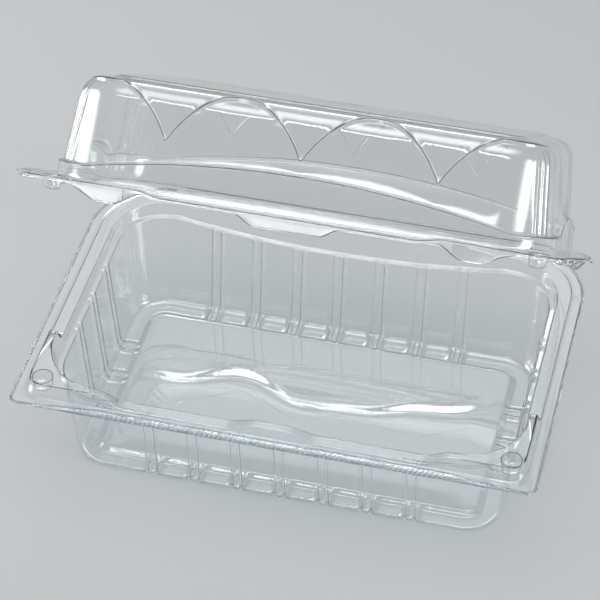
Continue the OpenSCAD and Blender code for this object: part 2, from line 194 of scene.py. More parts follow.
class SnapSettings(bpy.types.PropertyGroup):
    end_inset: length("From the end", 12.4, "Inset of a snap from the end")
    front_inset: length("From the front", 11.6, "Inset of a snap from the front")
    radius: length("Root radius", 3.8, "Radius of a stud at its root")
    tip_radius: length("Tip radius", 3.4, "Radius of a stud at its tip")
    length: length("Length", 4.9, "Length of a stud")
    gap: length("Gap", 0.35, "Gap round a stud in its socket")


class StageSettings(bpy.types.PropertyGroup):
    floor_colour: tint("Floor", (0.39, 0.395, 0.40), "Colour of the pale floor")
    sky: number("Sky", 0.2, "Even light from all round")
    top_lamp: power("Top lamp", 27.0, "Power of the overhead lamp")
    strip_lamp: power("Strip lamp", 6.0, "Power of the overhead strip")
    left_lamp: power("Left lamp", 14.0, "Power of the left lamp")
    right_lamp: power("Right lamp", 15.0, "Power of the right lamp")
    front_lamp: power("Front lamp", 4.0, "Power of the front lamp")
    back_panel: power("Back panel", 4.0, "Power of the back panel")
    back_strip: power("Back strip", 11.0, "Power of the back strip")


# Outlines: every row of a shell has the same stations, so one loop can be drawn out through all of them

Station = namedtuple("Station", "side along stretch ridge")
Spot = namedtuple("Spot", "x y out_x out_y side ridge index")
CORNERS = (0, 1, 2, 3)
FIT_SHARE = 0.985
FINE = 0.32 * MM
PLAIN = 2.4 * MM


def smooth(t):
    t = min(1.0, max(0.0, t))
    return t * t * (3.0 - 2.0 * t)


def steps(low, high, size):
    count = max(1, round((high - low) / size))
    return [low + (high - low) * i / count for i in range(count)]


def outline(stations, width, front, back, front_radius, back_radius):
    """Places the stations on a rounded rectangle with its own corner radii at the front and back."""
    ends = {"front": (width - front_radius,) * 2, "back": (width - back_radius,) * 2,
            "right": (front - front_radius, back - back_radius)}
    ends["left"] = ends["right"]
    centres = ((width - front_radius, front_radius - front, front_radius),
               (width - back_radius, back - back_radius, back_radius),
               (back_radius - width, back - back_radius, back_radius),
               (front_radius - width, front_radius - front, front_radius))
    reach = {side: max(MM, *(abs(s.along) for s in stations if s.side == side)) for side in ends}
    spots = []
    for index, s in enumerate(stations):
        if s.side in CORNERS:
            cx, cy, radius = centres[s.side]
            angle = math.radians(90.0 * (s.side - 1 + s.along))
            out_x, out_y = math.cos(angle), math.sin(angle)
            x, y = cx + radius * out_x, cy + radius * out_y
        else:
            end = ends[s.side][s.along + s.stretch > 0]
            fit = min(1.0, FIT_SHARE * end / reach[s.side])
            t = s.along * fit + s.stretch * (end - reach[s.side] * fit * (s.along != 0.0))
            x, y, out_x, out_y = {"front": (t, -front, 0.0, -1.0), "right": (width, t, 1.0, 0.0),
                                  "back": (t, back, 0.0, 1.0), "left": (-width, t, -1.0, 0.0)}[s.side]
        spots.append(Spot(x, y, out_x, out_y, s.side, s.ridge, index))
    return spots


def around(front, side, corner):
    """Stations once round the pack, anticlockwise, from one front, one side and one corner list."""
    def there(name, rows):
        return [Station(name, *row) for row in rows]

    def back_again(name, rows):
        return [Station(name, *row) for row in reversed(rows)]

    def turned(index):
        return [Station(index, 1.0 - share, 0.0, ridge) for share, _, ridge in reversed(corner)]
    return (there("front", front) + there(0, corner) + there("right", side) + turned(1)
            + back_again("back", front) + there(2, corner) + back_again("left", side) + turned(3))


def plain(places):
    """Stations with no stretch and no ridge."""
    return [(place, 0.0, 0.0) for place in places]


def even_turn(count):
    return plain(i / count for i in range(count + 1))


def even_side(count):
    return [(0.0, -1 + 2 * i / count, 0.0) for i in range(count + 1)]


def placed(spot, out, z):
    return Vector((spot.x + spot.out_x * out, spot.y + spot.out_y * out, z))


# Shells: rows of points, rounded where they bend, through which a loop is extruded

Row = namedtuple("Row", "points bend cuts", defaults=(0, 0))
BEND_SHARES = (0.0, 0.3, 0.7, 1.0)
BEND_LIMIT_SHARE = 0.46
EDGE_HOLD = 0.08 * MM
# Sizes of the rounds where the sheet bends
CRISP, SOFT, ROUND = 0.4 * MM, 0.5 * MM, 0.6 * MM
# The gap between two pieces that lie against each other
JOINT = 0.03 * MM
TINY = 1e-9
CUT_REACH = 1e-8
WELD = 1e-7


def rounded(rows):
    """Rounds each bend between rows and adds the cuts that a row asks for after it."""
    def towards(here, there, bend):
        way = there - here
        return here + way * min(BEND_LIMIT_SHARE, bend / max(way.length, TINY))

    groups = []
    for k, row in enumerate(rows):
        if k == 0:
            held = [towards(here, there, EDGE_HOLD) for here, there in zip(row.points, rows[1].points)]
            groups.append([row.points, held])
            continue
        if row.bend <= 0.0 or k == len(rows) - 1:
            groups.append([row.points])
            continue
        group = [[] for _ in BEND_SHARES]
        for before, here, after in zip(rows[k - 1].points, row.points, rows[k + 1].points):
            a, c = towards(here, before, row.bend), towards(here, after, row.bend)
            for line, t in zip(group, BEND_SHARES):
                line.append(a * (1 - t) ** 2 + here * (2 * t * (1 - t)) + c * t ** 2)
        groups.append(group)
    out = []
    for k, group in enumerate(groups):
        out.extend(group)
        for i in range(rows[k].cuts if k + 1 < len(groups) else 0):
            t = (i + 1) / (rows[k].cuts + 1)
            out.append([a.lerp(b, t) for a, b in zip(group[-1], groups[k + 1][0])])
    return out


def drawn_out(bm, edges, place):
    """Extrudes a loop once and puts each new corner where place says; returns the new loop."""
    grown = bmesh.ops.extrude_edge_only(bm, edges=edges)["geom"]
    corners = {g for g in grown if isinstance(g, bmesh.types.BMVert)}
    for v in corners:
        v.co = place(v)
    return [g for g in grown if isinstance(g, bmesh.types.BMEdge) and set(g.verts) <= corners]


def formed_shell(rows):
    """A new mesh: one loop drawn out through all the rows, and closed in the middle."""
    bm = bmesh.new()
    order = bm.verts.layers.int.new("station")
    bmesh.ops.create_circle(bm, segments=len(rows[0]), radius=1.0)
    for index, v in enumerate(bm.verts):
        v[order] = index
        v.co = rows[0][index]
    edges = bm.edges[:]
    for row in rows[1:]:
        edges = drawn_out(bm, edges, lambda v: row[v[order]])
    bmesh.ops.edgeloop_fill(bm, edges=edges)
    return bm


CUP_SIDES = 48
CUP_ZONE = 3 * MM
CUP_FLAT = 0.3 * MM


def cup_rings(radius, level, table):
    """Rings (radius, height) of a cup, from a table of millimetres out and up."""
    return [(radius + out * MM, level + up * MM) for out, up in table]


def press_cup(bm, centre, rings):
    """Cuts a round hole in the flat sheet at centre and draws its edge out through rings (radius, height).

    A first cut just outside the hole keeps the flat sheet flat up to its edge.
    """
    mouth, level = rings[0]
    middle = Vector((*centre, level))

    def near(point, reach):
        return (point - middle).xy.length < mouth + reach and abs(point.z - level) < CUP_FLAT
    zone = {f for f in bm.faces if near(f.calc_center_median(), CUP_ZONE)}
    turns = [2 * math.pi * i / CUP_SIDES for i in range(CUP_SIDES)]
    ways = [Vector((math.cos(turn), math.sin(turn), 0.0)) for turn in turns]
    for radius, way in [(r, w) for r in (mouth + EDGE_HOLD, mouth) for w in ways]:
        touch, along = middle + way * radius, Vector((-way.y, way.x, 0.0))
        half = radius * math.tan(math.pi / CUP_SIDES) + JOINT

        def crossed(face):
            off = [(v.co - touch).dot(way) for v in face.verts]
            aside = [(v.co - touch).dot(along) for v in face.verts]
            return min(off) < 0.0 < max(off) and min(aside) < half and max(aside) > -half
        cut = {f for f in zone if crossed(f)}
        parts = cut | {e for f in cut for e in f.edges} | {v for f in cut for v in f.verts}
        made = bmesh.ops.bisect_plane(bm, geom=list(parts), dist=CUT_REACH, plane_co=touch, plane_no=way)
        zone |= {g for g in made["geom"] if isinstance(g, bmesh.types.BMFace)}
    inside = [f for f in zone if all((f.calc_center_median() - middle).dot(way) < mouth for way in ways)]
    bmesh.ops.delete(bm, geom=inside, context="FACES")
    loop = [e for e in bm.edges if e.is_boundary and near((e.verts[0].co + e.verts[1].co) / 2, FINE)]
    for radius, height in rings[1:]:
        def narrowed(v):
            spoke = (v.co - middle).xy.normalized() * radius
            return Vector((middle.x + spoke.x, middle.y + spoke.y, height))
        loop = drawn_out(bm, loop, narrowed)
    bmesh.ops.edgeloop_fill(bm, edges=loop)


def press_snaps(bm, snap, rings):
    for sign in (-1, 1):
        press_cup(bm, (sign * (half_width - snap.end_inset), snap.front_inset - half_depth), rings)


def bar(walk, lanes):
    """A new mesh: a closed bar along a walk; each lane gives a corner of its section at step i."""
    bm = bmesh.new()
    bmesh.ops.create_grid(bm, x_segments=len(walk) - 1, y_segments=len(lanes), size=1.0)
    for v in bm.verts:
        i = round((v.co.x + 1.0) / 2.0 * (len(walk) - 1))
        j = round((v.co.y + 1.0) / 2.0 * len(lanes)) % len(lanes)
        v.co = lanes[j](walk[i], i)
    bmesh.ops.remove_doubles(bm, verts=bm.verts, dist=WELD)
    bmesh.ops.holes_fill(bm, edges=[e for e in bm.edges if e.is_boundary], sides=0)
    return bm


def even_walk(spots, step):
    """Points at an even step along a line of (place, outward) pairs."""
    walk, spare = [], 0.0
    for (a, out_a), (b, out_b) in zip(spots, spots[1:]):
        span = (b - a).length
        while spare < span:
            t = spare / span
            walk.append((a.lerp(b, t), out_a.lerp(out_b, t).normalized()))
            spare += step
        spare -= span
    return walk


def linked(name, data):
    made = bpy.data.objects.new(name, data)
    bpy.context.scene.collection.objects.link(made)
    return made


def meshed(bm, name, material):
    mesh = bpy.data.meshes.new(name)
    bm.to_mesh(mesh)
    bm.free()
    mesh.materials.append(material)
    return linked(name, mesh)


def add_piece(bm, name, body, material, thickness=0.0, upward=None, faceted=False):
    """Makes the mesh a piece of the pack; an open sheet faces upward and gets its thickness below."""
    bmesh.ops.recalc_face_normals(bm, faces=bm.faces)
    if thickness and sum(f.normal.dot(upward) * f.calc_area() for f in bm.faces) < 0.0:
        bmesh.ops.reverse_faces(bm, faces=bm.faces)
    piece = meshed(bm, name, material)
    piece.data.polygons.foreach_set("use_smooth", [not faceted] * len(piece.data.polygons))
    if thickness:
        sheet = piece.modifiers.new("Sheet", "SOLIDIFY")
        sheet.thickness = thickness
        sheet.offset = -1.0
    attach(piece, body)
    return piece


# Clear sheet

def set_inputs(node, values):
    for name, value in values.items():
        node.inputs[name].default_value = value


def wire(tree, *joins):
    """Links sockets; a join is (node, output, node, input)."""
    for giver, output, taker, taken in joins:
        tree.links.new(giver.outputs[output], taker.inputs[taken])


def ripple_group():
    """Forming ripples and fine scuffs of a thin sheet, as a height and a roughness."""
    found = bpy.data.node_groups.get("Formed sheet")
    if found:
        return found
    group = bpy.data.node_groups.new("Formed sheet", "ShaderNodeTree")
    for name, value in (("Ripple Scale", 45.0), ("Scuff Scale", 260.0), ("Gloss", 0.02), ("Scuff", 0.03)):
        group.interface.new_socket(name, in_out="INPUT", socket_type="NodeSocketFloat").default_value = value
    for name in ("Height", "Roughness"):
        group.interface.new_socket(name, in_out="OUTPUT", socket_type="NodeSocketFloat")
    nodes = group.nodes
    given, result = nodes.new("NodeGroupInput"), nodes.new("NodeGroupOutput")
    place, marks = nodes.new("ShaderNodeTexCoord"), nodes.new("ShaderNodeMapRange")
    ripple, scuff = nodes.new("ShaderNodeTexNoise"), nodes.new("ShaderNodeTexNoise")
    worn = nodes.new("ShaderNodeMath")
    worn.operation = "MULTIPLY_ADD"
    set_inputs(ripple, {"Detail": 1.5})
    set_inputs(scuff, {"Detail": 6.0})
    set_inputs(marks, {"From Min": 0.55, "From Max": 0.8})
    for noise, scale in ((ripple, "Ripple Scale"), (scuff, "Scuff Scale")):
        wire(group, (place, "Object", noise, "Vector"), (given, scale, noise, "Scale"))
    wire(group, (scuff, "Fac", marks, "Value"), (marks, "Result", worn, 0), (given, "Scuff", worn, 1),
         (given, "Gloss", worn, 2), (ripple, "Fac", result, "Height"), (worn, "Value", result, "Roughness"))
    return group


def clear_material(name, colour, gloss, scuff, ripple_scale):
    """Water-clear plastic that lamps shine through."""
    found = bpy.data.materials.get(name)
    if found:
        return found
    sheet = bpy.context.scene.pack_sheet
    material = bpy.data.materials.new(name)
    material.use_nodes = True
    tree, nodes = material.node_tree, material.node_tree.nodes
    plastic, formed = nodes["Principled BSDF"], nodes.new("ShaderNodeGroup")
    bump, path = nodes.new("ShaderNodeBump"), nodes.new("ShaderNodeLightPath")
    through = nodes.new("ShaderNodeBsdfTransparent")
    formed.node_tree = ripple_group()
    set_inputs(plastic, {"Base Color": (*colour, 1.0), "IOR": 1.5, "Transmission Weight": 1.0})
    set_inputs(formed, {"Ripple Scale": ripple_scale, "Gloss": gloss, "Scuff": scuff})
    set_inputs(bump, {"Strength": sheet.ripple, "Distance": MM})
    set_inputs(through, {"Color": (*sheet.shade, 1.0)})
    wire(tree, (formed, "Height", bump, "Height"), (formed, "Roughness", plastic, "Roughness"),
         (bump, "Normal", plastic, "Normal"))
    shown, output = plastic, "BSDF"
    for ray in ("Is Diffuse Ray", "Is Shadow Ray"):
        mixed = nodes.new("ShaderNodeMixShader")
        wire(tree, (path, ray, mixed, "Fac"), (shown, output, mixed, 1), (through, "BSDF", mixed, 2))
        shown, output = mixed, "Shader"
    wire(tree, (shown, output, nodes["Material Output"], "Surface"))
    return material


def sheet_material():
    sheet = bpy.context.scene.pack_sheet
    return clear_material("Clear sheet", sheet.colour, sheet.roughness, scuff=0.03, ripple_scale=45.0)


def knurl_material():
    sheet = bpy.context.scene.pack_sheet
    return clear_material("Knurled clear sheet", sheet.knurl_colour, sheet.frost,
                          scuff=0.05, ripple_scale=400.0)


# Tray

RIM_DRAFT = 0.22
SLOPE_STATIONS = 8
STEP_FINE = FINE * 1.5
FLOOR_RINGS = 22
PANEL_EDGE_SHARE = 0.2
# The wavy line on the floor, as millimetres to the right of and behind the middle
BUCKLE_LINE = ((-110, 2), (-62, 4), (-32, 14), (-6, 2), (22, 4), (52, 12), (110, 36))
# A snap socket, as millimetres out from its mouth or tip and up from the platform or its bottom
SOCKET_LIP = ((0.1, 0.0), (0.08, -0.01), (0.0, -0.1), (-0.08, -0.4))
SOCKET_FOOT = ((0.0, 0.8), (-0.25, 0.25), (-0.8, 0.0))
BEAD_SIDES = 24
BEAD_BEVEL = 0.4 * MM


def flange_level(tray):
    return platform_top - tray.corner_rise


def rib_row(tray, pairs, pitch, low, high):
    """Stations along a wall: close together on the ribs, wide apart between them."""
    foot = (tray.rib_spacing + tray.rib_width) / 2
    places, at = [], low
    for i in range(pairs):
        centre = (i - (pairs - 1) / 2) * pitch
        places += steps(at, centre - foot, PLAIN) + steps(centre - foot, centre + foot, FINE)
        at = centre + foot
    places += steps(at, high, PLAIN) + [high]

    def ridge(x):
        nearest = min((abs(x - (i - (pairs - 1) / 2) * pitch - s * tray.rib_spacing / 2)
                       for i in range(pairs) for s in (-1, 1)))
        return smooth((tray.rib_width / 2 - nearest) / tray.rib_flank)
    return [(x, 0.0, ridge(x)) for x in places]


def edge_width(tray, x, y):
    """Width of the toothed edge: widest along the front, where it is a knurled grip."""
    front = smooth((half_width - tray.front_corner - abs(x)) / tray.grip_taper) \
        if y < JOINT - half_depth else 0.0
    return tray.edge_strip + (tray.grip_strip - tray.edge_strip) * front


def buckle(tray, x, y):
    """The thin floor panel has buckled: its front part stands up along a wavy line from end to end."""
    spans = zip(BUCKLE_LINE, BUCKLE_LINE[1:])
    (x0, y0), (x1, y1) = next((a, b) for a, b in spans if a[0] * MM <= x <= b[0] * MM)
    line = (y0 + (y1 - y0) * smooth((x / MM - x0) / (x1 - x0))) * MM
    return tray.floor_wave * smooth((line - y) / tray.wave_width + 0.5)


def tray_rows(tray):
    flange = flange_level(tray)
    slope_end = half_width - tray.platform_width
    slope_start = slope_end - tray.platform_slope
    side_end = half_depth - tray.platform_length
    front = rib_row(tray, tray.long_pairs, tray.rib_pitch, -slope_end, slope_end)
    ends = [(slope_end, (i + 1) / (SLOPE_STATIONS + 1), 0.0) for i in range(SLOPE_STATIONS)]
    front = [(-along, -stretch, 0.0) for along, stretch, _ in reversed(ends)] + front + ends
    side = (plain(steps(-side_end, tray.platform_step - side_end, STEP_FINE))
            + rib_row(tray, tray.end_pairs, tray.end_rib_pitch, tray.platform_step - side_end,
                      side_end - tray.platform_step))
    stations = around(front, side, even_turn(count=24))

    def ring(width_inset, depth_inset, front_radius, back_radius):
        depth = half_depth - depth_inset
        return outline(stations, half_width - width_inset, depth, depth, front_radius, back_radius)

    def rise(p):
        corner_part = 0.0
        if p.y < 0.0:
            if p.side in ("left", "right"):
                corner_part = smooth((-p.y - side_end + tray.platform_step) / tray.platform_step)
            else:
                corner_part = smooth((abs(p.x) - slope_start) / tray.platform_slope)
        middle_part = smooth((tray.middle_half - abs(p.x)) / (tray.middle_half - tray.middle_flat)) \
            if p.side == "front" else 0.0
        return (corner_part * (tray.corner_rise - tray.rim_height)
                + middle_part * (tray.middle_rise - tray.rim_height))

    def dip(p):
        if p.side not in ("front", "back"):
            return 0.0
        return (tray.ledge_middle - tray.ledge_drop) * (1 - min(1.0, abs(p.x) / slope_end) ** 2)

    mouth = tray.lip_width + tray.rim_width
    foot = tray.ledge_setback / 2
    ledge = mouth + foot
    inner = tray.mouth_corner - tray.ledge_setback
    lip = ring(0.0, 0.0, tray.front_corner, tray.back_corner)
    rim_foot = ring(tray.lip_width, tray.lip_width, tray.rim_corner, tray.back_corner - tray.lip_width)
    mouth_ring = ring(mouth, mouth, tray.mouth_corner, tray.mouth_corner)
    ledge_ring = ring(ledge, ledge + foot, inner, inner)
    ledge_in = ring(ledge + tray.ledge_width, ledge + foot + tray.ledge_width,
                    inner - tray.ledge_width, inner - tray.ledge_width)

    def foot_ring(inward):
        return ring(tray.wall_end + inward, tray.wall_side + inward,
                    tray.wall_corner - inward, tray.wall_corner - inward)

    # Ribs stand into the tray from the walls and up from the foot band
    low, panel = tray.floor_level, tray.floor_level + tray.panel_rise
    band = foot_ring(tray.foot_width)
    floor_ring = foot_ring(tray.foot_width + tray.panel_slope)
    rows = [
        Row([placed(p, 0 if p.side == "back" else -edge_width(tray, p.x, p.y), flange) for p in lip], 0, 1),
        Row([placed(p, 0, flange) for p in rim_foot], SOFT),
        Row([placed(p, -RIM_DRAFT * (tray.rim_height + rise(p)), flange + tray.rim_height + rise(p))
             for p in rim_foot], CRISP, 6),
        Row([placed(p, RIM_DRAFT * rise(p), flange + tray.rim_height + rise(p))
             for p in mouth_ring], ROUND, 1),
        Row([placed(p, 0, flange - tray.ledge_drop - dip(p)) for p in ledge_ring], SOFT),
        Row([placed(p, -tray.rib_depth * p.ridge, flange - tray.ledge_drop - dip(p) - tray.floor_level)
             for p in ledge_in], SOFT, 5),
        Row([placed(p, -tray.rib_depth * p.ridge, low + tray.rib_depth * p.ridge)
             for p in foot_ring(0.0)], tray.foot_round, 1),
        Row([placed(p, 0, low + tray.rib_depth * p.ridge) for p in band], CRISP, 1),
        Row([placed(p, 0, panel) for p in floor_ring], CRISP)]
    for i in range(1, FLOOR_RINGS):
        share = 1 - i / FLOOR_RINGS
        edge = smooth(i / FLOOR_RINGS / PANEL_EDGE_SHARE)
        spots = [(p.x * share, p.y * share) for p in floor_ring]
        rows.append(Row([Vector((x, y, panel + edge * buckle(tray, x, y))) for x, y in spots]))
    return rounded(rows)


class PACK_OT_form_tray(bpy.types.Operator):
    """Form the ribbed tray with its rim, ledge, snap sockets and floor"""
    bl_idname = "food_pack.form_tray"
    bl_label = "Form Tray"

    def execute(self, context):
        tray, snap = context.scene.pack_tray, context.scene.pack_snap
        bm = formed_shell(tray_rows(tray))
        mouth, tip = snap.radius + snap.gap, snap.tip_radius + snap.gap
        bottom = platform_top - snap.length - snap.gap
        rings = cup_rings(mouth, platform_top, SOCKET_LIP) + cup_rings(tip, bottom, SOCKET_FOOT)
        press_snaps(bm, snap, rings)
        piece = add_piece(bm, "tray_shell", "tray_body", sheet_material(),
                          context.scene.pack_sheet.thickness, Vector((0, 0, 1)))
        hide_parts("base_tray")
        return {"FINISHED"}


class PACK_OT_cut_tray_edge(bpy.types.Operator):
    """Lay the toothed and knurled edge round the front and the two sides of the tray"""
    bl_idname = "food_pack.cut_tray_edge"
    bl_label = "Cut Tray Edge"

    tooth: length("Tooth", 0.7, "How far a tooth stands out")
    pitch: length("Tooth pitch", 2.0, "Distance between teeth")
    knurl: length("Knurl", 0.25, "Height of the knurls over the flange")
    pit: length("Pit", 0.25, "Depth of the pits between the knurls")
    depth: length("Edge depth", 0.5, "Thickness of the knurled edge")
    lanes: IntProperty(name="Lanes", description="Rows of knurls across the edge", default=5, min=2)

    def execute(self, context):
        tray = context.scene.pack_tray
        flange = flange_level(tray)
        straight, turn = even_side(count=200), even_turn(count=40)
        ring = outline(around(straight, straight, turn), half_width, half_depth, half_depth,
                       tray.front_corner, tray.back_corner)
        start = next(p.index for p in ring if p.side == 2)
        path = [p for p in ring[start:] + ring[:start] if p.side != "back"]
        line = [(placed(p, 0, flange), Vector((p.out_x, p.out_y, 0))) for p in path]
        walk = even_walk(line, self.pitch / 2)

        def lane(j, level):
            def corner(w, i):
                place, out = w
                tooth = self.tooth if i % 2 else 0.0
                inset = tooth + (edge_width(tray, place.x, place.y) - JOINT - tooth) * j / self.lanes
                return place - out * inset + Vector((0, 0, level(i + j)))
            return corner

        def knurled(i):
            return self.knurl if i % 2 else -self.pit
        lanes = [lane(0, lambda i: -self.depth), lane(0, lambda i: 0.0),
                 *(lane(j, knurled) for j in range(1, self.lanes)),
                 lane(self.lanes, lambda i: 0.0), lane(self.lanes, lambda i: -self.depth)]
        add_piece(bar(walk, lanes), "tray_edge", "tray_body", knurl_material(), faceted=True)
        return {"FINISHED"}


class PACK_OT_roll_hinge(bpy.types.Operator):
    """Roll the bead along the back edge that the lid turns on"""
    bl_idname = "food_pack.roll_hinge"
    bl_label = "Roll Hinge"

    radius: length("Radius", 0.9, "Radius of the bead")
    span: length("Length", 150, "Length of the bead")

    def execute(self, context):
        bm = bmesh.new()
        bmesh.ops.create_cone(bm, cap_ends=True, segments=BEAD_SIDES, radius1=self.radius,
                              radius2=self.radius, depth=self.span, matrix=Matrix.Translation(hinge_point)
                              @ Matrix.Rotation(math.pi / 2, 4, "Y"))
        ends = [e for e in bm.edges if abs(e.verts[0].co.x - e.verts[1].co.x) < FINE]
        bmesh.ops.bevel(bm, geom=ends, offset=BEAD_BEVEL, segments=3, profile=0.5, affect="EDGES",
                        material=-1)
        add_piece(bm, "hinge_bead", "tray_body", sheet_material())
        return {"FINISHED"}


# Lid, formed closed on the tray and then swung open about the hinge

LID_STEP = 0.92 * MM
LONG_SHARE, END_SHARE = 0.94, 0.86
FRONT_STRETCH = (0.2, 0.4, 0.6, 0.8)
SIDE_STRETCH = 16
CORNER_LEAD = tuple(0.04 * i for i in range(13))
CORNER_TAIL = (0.83, 0.87, 0.91, 0.95, 1.0)
FLUTE_START, FLUTE_SPAN, FLUTE_STATIONS, FLUTE_COUNT = 0.52, 0.27, 24, 3
SIDE_LEAN, END_LEAN = 0.2, 0.1
DRAPE_POWER = 2.5
EDGE_BEND, BAND_BEND = 0.25 * MM, 1.0 * MM
DRAPE_FOOT_BEND, DRAPE_BEND = 0.35 * MM, 0.45 * MM
BEAD_FOOT, BEAD_TOP = 1.2 * MM, 0.3 * MM
# Where the rows lie on the wall, on the drape and on the top, as shares of the way
WALL_SHARES = (0.3, 0.55, 0.7, 0.78, 0.85, 0.91, 0.96)
DRAPE_SHARES = (0.3, 0.5, 0.62, 0.72, 0.8, 0.87, 0.93, 0.97, 1.0)
TOP_SHARES = (0.97, 0.85, 0.7, 0.55, 0.4, 0.25, 0.12, 0.04)
CROWN_SPAN = 0.8
# A snap stud, as millimetres out from its root or tip and up from there
STUD_ROOT = ((0.4, 0.0), (0.0, -0.15), (-0.1, -0.6))
STUD_TIP = ((-0.6, 0.4), (-1.2, 0.3))
STUD_ROUND = 0.9 * MM
TOOTH_FOOT = 0.3 * MM
opened = (Matrix.Translation(hinge_point) @ Matrix.Rotation(-rest_angle, 4, "X")
          @ Matrix.Translation(-hinge_point))


class LidForm:
    """Heights and places round the closed lid, over the tray flange."""

    def __init__(self, scene):
        self.tray, self.lid, self.sheet = scene.pack_tray, scene.pack_lid, scene.pack_sheet
        tray, lid = self.tray, self.lid
        self.flange = flange_level(tray)
        self.slope_start = half_width - tray.platform_width - tray.platform_slope
        self.side_end = half_depth - tray.platform_length
        self.band_width = half_width - lid.band_end
        self.band_depth = half_depth - lid.band_side
        self.side_reach = (self.band_depth - lid.band_corner) * END_SHARE
        self.reach = (self.band_width - lid.band_corner) * LONG_SHARE
        self.top_edge = lid.height - lid.panel_rise - lid.drape_depth
        self.round_start = self.top_edge - lid.top_round
        front = ([(-self.reach, -s, 0.0) for s in reversed(FRONT_STRETCH)]
                 + plain(steps(-self.reach, self.reach, LID_STEP) + [self.reach])
                 + [(self.reach, s, 0.0) for s in FRONT_STRETCH])
        side = ([(-self.side_reach, -1 + i / SIDE_STRETCH, 0.0) for i in range(1, SIDE_STRETCH)]
                + plain(steps(-self.side_reach, self.side_reach, PLAIN) + [self.side_reach]))
        turn = 2 * math.pi
        flutes = [(FLUTE_START + FLUTE_SPAN * i / FLUTE_STATIONS, 0.0,
                   0.5 - 0.5 * math.cos(turn * i / (FLUTE_STATIONS // FLUTE_COUNT)))
                  for i in range(FLUTE_STATIONS + 1)]
        self.stations = around(front, side, plain(CORNER_LEAD) + flutes + plain(CORNER_TAIL))

    def lift(self, p):
        """Underside of the flange: it clears the platforms and the raised middle of the tray rim."""
        tray, gap = self.tray, self.lid.closing_gap
        low, middle, high = tray.rim_height + gap, tray.middle_rise + gap, tray.corner_rise + gap
        if p.side == "front":
            return middle + (high - middle) * smooth((abs(p.x) - self.slope_start) / tray.platform_slope + 1)
        if p.y > 0.0:
            return low
        return low + (high - low) * smooth((-p.y - self.side_end) / tray.platform_step + 2)

    def ear(self, p):
        if p.side == "front" or p.y > 0.0:
            return 0.0
        off = abs(half_depth - self.lid.ear_distance + p.y) / self.lid.ear_half
        return math.copysign(self.lid.ear_reach * math.cos(math.pi / 2 * min(1.0, off)) ** 2, p.x)

    def edge_bottom(self, p):
        """Lower edge of the flange, with the three tabs that hang at the front."""
        lid, low = self.lid, self.lift(p) - self.lid.edge_drop
        if p.side != "front":
            return low
        x = abs(p.x)
        end = half_width - lid.outer_tab
        middle = smooth((lid.tab_half - x) / (lid.tab_half - lid.tab_flat))
        outer = (smooth((x - end + lid.outer_tab_length) / lid.outer_tab_curve)
                 * smooth((end - x) / lid.outer_tab_curve))
        return low - (low - lid.closing_gap) * max(middle, outer)

    def flare(self, p):
        """How far the edge turns out; not at all beside the hinge, where it folds close to the tray."""
        clear = self.lid.hinge_clear
        return self.lid.edge_flare * smooth((hinge_point.y - p.y - clear) / clear)

    def band_top(self, p):
        lid = self.lid
        if p.side in ("left", "right"):
            arch, share = lid.band_end_arch, p.y / self.side_reach
        else:
            arch, share = lid.band_arch, p.x / lid.arch_reach
        return lid.band_height + (arch - lid.band_height) * max(0.0, 1 - share * share)

    def turned(self, z):
        return min(1.0, max(0.0, (z - self.round_start) / self.lid.top_round))

    def lean(self, p):
        return SIDE_LEAN * p.out_y ** 2 + END_LEAN * p.out_x ** 2

    def dome(self, p, z, out=0.0):
        """A point on the dome: a leaning wall, then a rounded edge, with flutes at the corners."""
        lid, turn = self.lid, self.turned(z)
        inward = (self.lean(p) * (min(z, self.round_start) - lid.band_height)
                  + lid.top_run * (1 - math.sqrt(1 - turn * turn)) - lid.flute * p.ridge * (1 - turn))
        tilt = max(math.atan(self.lean(p)), math.asin(turn))
        return placed(p, out * math.cos(tilt) - inward, self.flange + z + out * math.sin(tilt))

    def drape(self, p):
        """Height of the draped edge: points over the arch, and curves up to the top between them."""
        lid = self.lid
        high = self.top_edge - lid.drape_top
        if p.side not in ("front", "back"):
            return high
        low, turns = lid.band_arch + lid.drape_gap, abs(p.x) / lid.drape_pitch
        share = 2 * abs(turns - round(turns))
        return low + (high - low) * (1 - (1 - share) ** DRAPE_POWER)

    def on_flange(self, p, z, out=0.0):
        return Vector((p.x + self.ear(p) + p.out_x * out, p.y + p.out_y * out, self.flange + z))

    def edge_ring(self, stations):
        lid, tray = self.lid, self.tray
        return outline(stations, half_width - lid.edge_setback, half_depth - lid.front_setback,
                       hinge_point.y - lid.back_edge, tray.front_corner, tray.back_corner)

    def rows(self):
        lid, sheet = self.lid, self.tray.floor_level
        edge = self.edge_ring(self.stations)
        band = outline(self.stations, self.band_width, self.band_depth, self.band_depth,
                       lid.band_corner, lid.band_corner)
        inner, radius = self.band_depth - lid.band_step, lid.band_corner - lid.band_end_step
        dome = outline(self.stations, self.band_width - lid.band_end_step, inner, inner, radius, radius)

